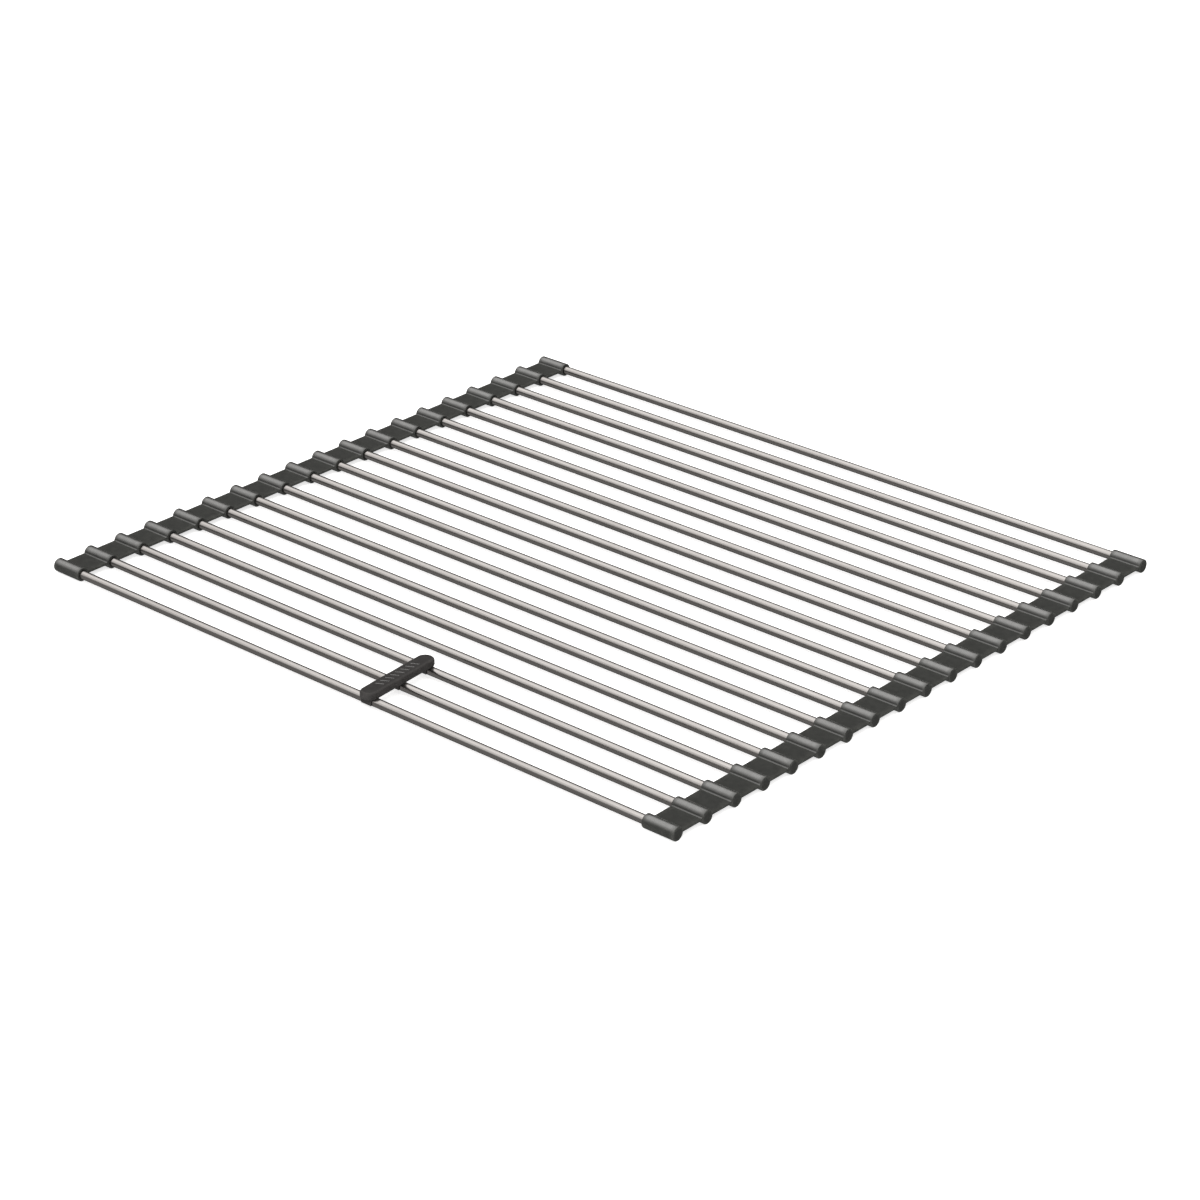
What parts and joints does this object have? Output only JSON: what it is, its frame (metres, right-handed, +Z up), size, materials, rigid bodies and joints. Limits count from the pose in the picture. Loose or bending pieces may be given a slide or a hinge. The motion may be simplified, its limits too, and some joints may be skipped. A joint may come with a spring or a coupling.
{
  "type": "roll-up drying rack",
  "caption": "Flat roll-up drying rack of parallel steel tubes with silicone sleeve strips at both ends and a small label strap, laid across a sink.",
  "frame": {"origin": "middle of the rack on the surface that the sleeves rest on", "axes": "+X along the tubes, +Y across the tubes away from the label strap, +Z up"},
  "size_m": [0.45, 0.4051, 0.0102],
  "materials": {
    "tube_steel": "fine lengthwise brushed stainless steel",
    "strip_silicone": "soft satin moulded silicone, dark charcoal",
    "strap_silicone": "matt moulded silicone, dark charcoal, with raised ribs"
  },
  "bodies": {
    "link_01": {"tube_01": "tube_steel", "left_sleeve_01": "strip_silicone", "right_sleeve_01": "strip_silicone"},
    "link_02": {"tube_02": "tube_steel", "left_sleeve_02": "strip_silicone", "right_sleeve_02": "strip_silicone", "label_strap": "strap_silicone"},
    "link_03": {"tube_03": "tube_steel", "left_sleeve_03": "strip_silicone", "right_sleeve_03": "strip_silicone"},
    "link_04": {"tube_04": "tube_steel", "left_sleeve_04": "strip_silicone", "right_sleeve_04": "strip_silicone"},
    "link_05": {"tube_05": "tube_steel", "left_sleeve_05": "strip_silicone", "right_sleeve_05": "strip_silicone"},
    "link_06": {"tube_06": "tube_steel", "left_sleeve_06": "strip_silicone", "right_sleeve_06": "strip_silicone"},
    "link_07": {"tube_07": "tube_steel", "left_sleeve_07": "strip_silicone", "right_sleeve_07": "strip_silicone"},
    "link_08": {"tube_08": "tube_steel", "left_sleeve_08": "strip_silicone", "right_sleeve_08": "strip_silicone"},
    "link_09": {"tube_09": "tube_steel", "left_sleeve_09": "strip_silicone", "right_sleeve_09": "strip_silicone"},
    "link_10": {"tube_10": "tube_steel", "left_sleeve_10": "strip_silicone", "right_sleeve_10": "strip_silicone"},
    "link_11": {"tube_11": "tube_steel", "left_sleeve_11": "strip_silicone", "right_sleeve_11": "strip_silicone"},
    "link_12": {"tube_12": "tube_steel", "left_sleeve_12": "strip_silicone", "right_sleeve_12": "strip_silicone"},
    "link_13": {"tube_13": "tube_steel", "left_sleeve_13": "strip_silicone", "right_sleeve_13": "strip_silicone"},
    "link_14": {"tube_14": "tube_steel", "left_sleeve_14": "strip_silicone", "right_sleeve_14": "strip_silicone"},
    "link_15": {"tube_15": "tube_steel", "left_sleeve_15": "strip_silicone", "right_sleeve_15": "strip_silicone"},
    "link_16": {"tube_16": "tube_steel", "left_sleeve_16": "strip_silicone", "right_sleeve_16": "strip_silicone"},
    "link_17": {"tube_17": "tube_steel", "left_sleeve_17": "strip_silicone", "right_sleeve_17": "strip_silicone"},
    "link_18": {"tube_18": "tube_steel", "left_sleeve_18": "strip_silicone", "right_sleeve_18": "strip_silicone"},
    "link_19": {"tube_19": "tube_steel", "left_sleeve_19": "strip_silicone", "right_sleeve_19": "strip_silicone"}
  },
  "joints": [
    {"name": "roll_hinge_01", "type": "hinge", "parent": "link_01", "child": "link_02", "pos_m": [0, -0.187, 0.0046], "axis": [1, 0, 0], "range_deg": [0, 31.5], "deforming": ["label_strap"]},
    {"name": "roll_hinge_02", "type": "hinge", "parent": "link_02", "child": "link_03", "pos_m": [0, -0.165, 0.0046], "axis": [1, 0, 0], "range_deg": [0, 32], "deforming": ["label_strap"]},
    {"name": "roll_hinge_03", "type": "hinge", "parent": "link_03", "child": "link_04", "pos_m": [0, -0.143, 0.0046], "axis": [1, 0, 0], "range_deg": [0, 33]},
    {"name": "roll_hinge_04", "type": "hinge", "parent": "link_04", "child": "link_05", "pos_m": [0, -0.121, 0.0046], "axis": [1, 0, 0], "range_deg": [0, 34]},
    {"name": "roll_hinge_05", "type": "hinge", "parent": "link_05", "child": "link_06", "pos_m": [0, -0.099, 0.0046], "axis": [1, 0, 0], "range_deg": [0, 35]},
    {"name": "roll_hinge_06", "type": "hinge", "parent": "link_06", "child": "link_07", "pos_m": [0, -0.077, 0.0046], "axis": [1, 0, 0], "range_deg": [0, 36]},
    {"name": "roll_hinge_07", "type": "hinge", "parent": "link_07", "child": "link_08", "pos_m": [0, -0.055, 0.0046], "axis": [1, 0, 0], "range_deg": [0, 37]},
    {"name": "roll_hinge_08", "type": "hinge", "parent": "link_08", "child": "link_09", "pos_m": [0, -0.033, 0.0046], "axis": [1, 0, 0], "range_deg": [0, 38]},
    {"name": "roll_hinge_09", "type": "hinge", "parent": "link_09", "child": "link_10", "pos_m": [0, -0.011, 0.0046], "axis": [1, 0, 0], "range_deg": [0, 39.5]},
    {"name": "roll_hinge_10", "type": "hinge", "parent": "link_10", "child": "link_11", "pos_m": [0, 0.011, 0.0046], "axis": [1, 0, 0], "range_deg": [0, 41]},
    {"name": "roll_hinge_11", "type": "hinge", "parent": "link_11", "child": "link_12", "pos_m": [0, 0.033, 0.0046], "axis": [1, 0, 0], "range_deg": [0, 42.5]},
    {"name": "roll_hinge_12", "type": "hinge", "parent": "link_12", "child": "link_13", "pos_m": [0, 0.055, 0.0046], "axis": [1, 0, 0], "range_deg": [0, 44.5]},
    {"name": "roll_hinge_13", "type": "hinge", "parent": "link_13", "child": "link_14", "pos_m": [0, 0.077, 0.0046], "axis": [1, 0, 0], "range_deg": [0, 47]},
    {"name": "roll_hinge_14", "type": "hinge", "parent": "link_14", "child": "link_15", "pos_m": [0, 0.099, 0.0046], "axis": [1, 0, 0], "range_deg": [0, 49.5]},
    {"name": "roll_hinge_15", "type": "hinge", "parent": "link_15", "child": "link_16", "pos_m": [0, 0.121, 0.0046], "axis": [1, 0, 0], "range_deg": [0, 52.5]},
    {"name": "roll_hinge_16", "type": "hinge", "parent": "link_16", "child": "link_17", "pos_m": [0, 0.143, 0.0046], "axis": [1, 0, 0], "range_deg": [0, 56]},
    {"name": "roll_hinge_17", "type": "hinge", "parent": "link_17", "child": "link_18", "pos_m": [0, 0.165, 0.0046], "axis": [1, 0, 0], "range_deg": [0, 61]},
    {"name": "roll_hinge_18", "type": "hinge", "parent": "link_18", "child": "link_19", "pos_m": [0, 0.187, 0.0046], "axis": [1, 0, 0], "range_deg": [0, 67]}
  ],
  "couplings": [
    {"joint": "roll_hinge_02", "follows": "roll_hinge_01", "ratio": 1.0159},
    {"joint": "roll_hinge_03", "follows": "roll_hinge_01", "ratio": 1.0476},
    {"joint": "roll_hinge_04", "follows": "roll_hinge_01", "ratio": 1.0794},
    {"joint": "roll_hinge_05", "follows": "roll_hinge_01", "ratio": 1.1111},
    {"joint": "roll_hinge_06", "follows": "roll_hinge_01", "ratio": 1.1429},
    {"joint": "roll_hinge_07", "follows": "roll_hinge_01", "ratio": 1.1746},
    {"joint": "roll_hinge_08", "follows": "roll_hinge_01", "ratio": 1.2063},
    {"joint": "roll_hinge_09", "follows": "roll_hinge_01", "ratio": 1.254},
    {"joint": "roll_hinge_10", "follows": "roll_hinge_01", "ratio": 1.3016},
    {"joint": "roll_hinge_11", "follows": "roll_hinge_01", "ratio": 1.3492},
    {"joint": "roll_hinge_12", "follows": "roll_hinge_01", "ratio": 1.4127},
    {"joint": "roll_hinge_13", "follows": "roll_hinge_01", "ratio": 1.4921},
    {"joint": "roll_hinge_14", "follows": "roll_hinge_01", "ratio": 1.5714},
    {"joint": "roll_hinge_15", "follows": "roll_hinge_01", "ratio": 1.6667},
    {"joint": "roll_hinge_16", "follows": "roll_hinge_01", "ratio": 1.7778},
    {"joint": "roll_hinge_17", "follows": "roll_hinge_01", "ratio": 1.9365},
    {"joint": "roll_hinge_18", "follows": "roll_hinge_01", "ratio": 2.127}
  ]
}
